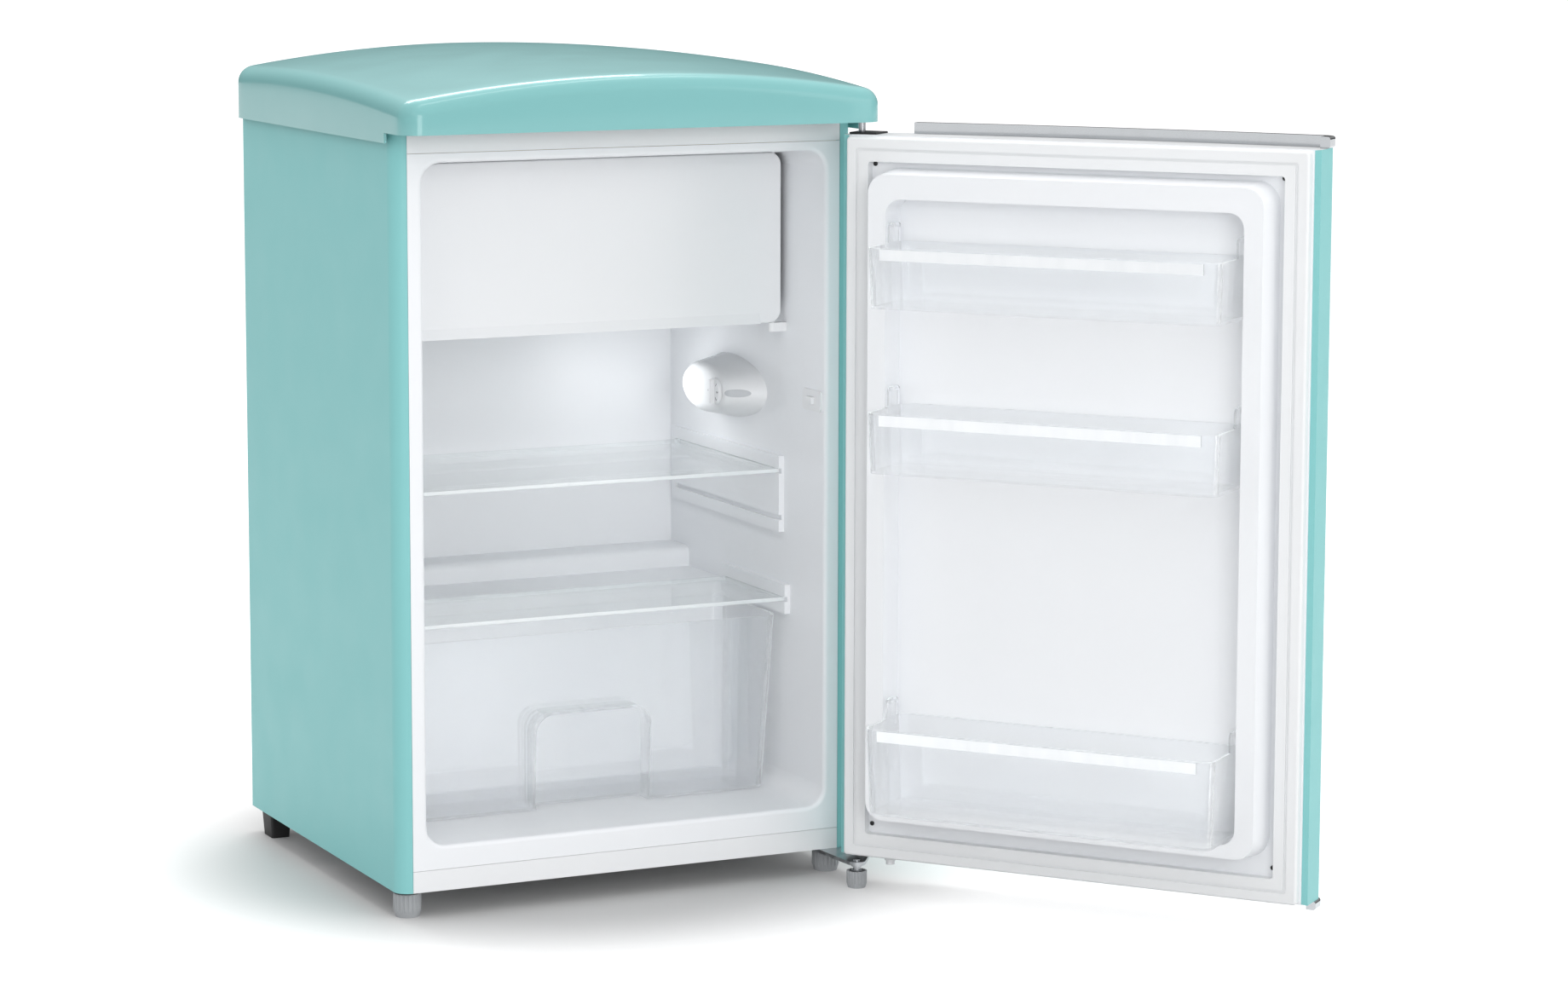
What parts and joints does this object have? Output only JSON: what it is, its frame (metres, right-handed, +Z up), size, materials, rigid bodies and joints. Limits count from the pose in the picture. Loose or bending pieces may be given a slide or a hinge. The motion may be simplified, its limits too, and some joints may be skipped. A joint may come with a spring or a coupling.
{
  "type": "mini fridge",
  "caption": "Free-standing retro mini fridge: domed cover, steel cabinet, open right-hinged door with racks, freezer flap, glass shelves, crisper drawer, thermostat dial and levelling feet.",
  "frame": {"origin": "on the floor under the middle of the cabinet, left to right and front to back", "axes": "+Z up, +X to the right seen from the front, -Y out of the front, +Y out of the back"},
  "size_m": [0.9223, 0.9784, 0.941],
  "materials": {
    "teal_paint": "satin enamel on sheet steel",
    "teal_cover": "moulded cover in the cabinet's colour",
    "frame_white": "white enamel",
    "liner_white": "vacuum-formed liner",
    "plastic_white": "moulded white plastic",
    "foam": "rigid insulation foam, sealed inside",
    "plated_steel": "plated sheet",
    "back_paint": "grey primer paint",
    "seal_white": "soft extruded seal",
    "clear_plastic": "clear moulded plastic",
    "shelf_glass": "toughened glass",
    "aluminium": "rolled sheet",
    "chrome": "bright trim",
    "lamp_glass": "clear lamp",
    "lens_white": "frosted lens",
    "black_plastic": "black moulding",
    "grey_plastic": "ribbed grey moulding",
    "black_paint": "black enamel",
    "rubber_black": "rubber mount",
    "copper": "copper tube"
  },
  "bodies": {
    "cabinet": {"side_panel_left": "teal_paint", "side_panel_right": "teal_paint", "top_cover": "teal_cover", "top_plate": "plated_steel", "back_panel": "back_paint", "base_panel": "plated_steel", "front_crossbar_upper": "frame_white", "front_crossbar_lower": "frame_white", "inner_liner": "liner_white", "cabinet_insulation": "foam", "freezer_box": "aluminium", "freezer_hangers": "plastic_white", "freezer_pivot_brackets": "plastic_white", "thermostat_housing": "plastic_white", "housing_screw_cap": "plastic_white", "lamp_lens": "lens_white", "lamp_bulb": "lamp_glass", "light_switch_body": "plastic_white", "upper_hinge_bracket": "plated_steel", "lower_hinge_bracket": "plated_steel", "hinge_pins": "plated_steel", "hinge_screws": "plated_steel", "foot_nuts": "plated_steel", "rear_feet": "black_plastic", "compressor_rail": "plated_steel", "compressor": "black_paint", "compressor_grommets": "rubber_black", "terminal_box": "black_plastic", "cord_gland": "black_plastic", "drain_tray": "black_plastic", "refrigerant_tubes": "copper", "filter_drier": "copper"},
    "door": {"door_outer_panel": "teal_paint", "door_liner": "liner_white", "door_insulation": "foam", "door_gasket": "seal_white", "door_trim_upper": "chrome", "door_trim_lower": "chrome", "door_handle": "chrome", "door_bushes": "black_plastic", "door_stop": "plastic_white"},
    "upper_rack": {"rack_upper": "clear_plastic", "rack_strip_upper": "chrome"},
    "middle_rack": {"rack_middle": "clear_plastic", "rack_strip_middle": "chrome"},
    "lower_rack": {"rack_lower": "clear_plastic", "rack_strip_lower": "chrome"},
    "freezer_door": {"freezer_flap": "plastic_white"},
    "shelf": {"shelf_glass": "shelf_glass"},
    "crisper_cover": {"crisper_glass": "shelf_glass"},
    "crisper": {"crisper_drawer": "clear_plastic"},
    "dial": {"thermostat_dial": "plastic_white"},
    "switch_key": {"light_switch_key": "plastic_white"},
    "left_foot": {"front_foot_left": "grey_plastic", "front_foot_stud_left": "plated_steel"},
    "right_foot": {"front_foot_right": "grey_plastic", "front_foot_stud_right": "plated_steel"},
    "third_foot": {"hinge_foot": "grey_plastic", "hinge_foot_stud": "plated_steel"}
  },
  "joints": [
    {"name": "door_swing", "type": "hinge", "parent": "cabinet", "child": "door", "pos_m": [0.2655, -0.2843, 0], "axis": [0, 0, 1], "range_deg": [-128.4, 11.6]},
    {"name": "upper_rack_lift", "type": "slide", "parent": "door", "child": "upper_rack", "axis": [0, 0, 1], "range_m": [0, 0.012]},
    {"name": "middle_rack_lift", "type": "slide", "parent": "door", "child": "middle_rack", "axis": [0, 0, 1], "range_m": [0, 0.012]},
    {"name": "lower_rack_lift", "type": "slide", "parent": "door", "child": "lower_rack", "axis": [0, 0, 1], "range_m": [0, 0.012]},
    {"name": "freezer_door_swing", "type": "hinge", "parent": "cabinet", "child": "freezer_door", "pos_m": [0.224, -0.1425, 0], "axis": [0, 0, 1], "range_deg": [0, 75]},
    {"name": "shelf_slide", "type": "slide", "parent": "cabinet", "child": "shelf", "axis": [0, -1, 0], "range_m": [0, 0.14]},
    {"name": "crisper_cover_slide", "type": "slide", "parent": "cabinet", "child": "crisper_cover", "axis": [0, -1, 0], "range_m": [0, 0.06]},
    {"name": "crisper_slide", "type": "slide", "parent": "cabinet", "child": "crisper", "axis": [0, -1, 0], "range_m": [0, 0.14]},
    {"name": "dial_turn", "type": "hinge", "parent": "cabinet", "child": "dial", "pos_m": [0.196, -0.052, 0.536], "axis": [-1, 0, 0], "range_deg": [-150, 150]},
    {"name": "switch_press", "type": "slide", "parent": "cabinet", "child": "switch_key", "axis": [1, 0, 0], "range_m": [0, 0.003], "stiffness_N_per_m": 300, "springref_m": -0.002},
    {"name": "left_foot_turn", "type": "hinge", "parent": "cabinet", "child": "left_foot", "pos_m": [-0.256, -0.219, 0], "axis": [0, 0, 1], "continuous": true},
    {"name": "right_foot_turn", "type": "hinge", "parent": "cabinet", "child": "right_foot", "pos_m": [0.256, -0.219, 0], "axis": [0, 0, 1], "continuous": true},
    {"name": "third_foot_turn", "type": "hinge", "parent": "cabinet", "child": "third_foot", "pos_m": [0.25, -0.31, 0], "axis": [0, 0, 1], "continuous": true}
  ]
}
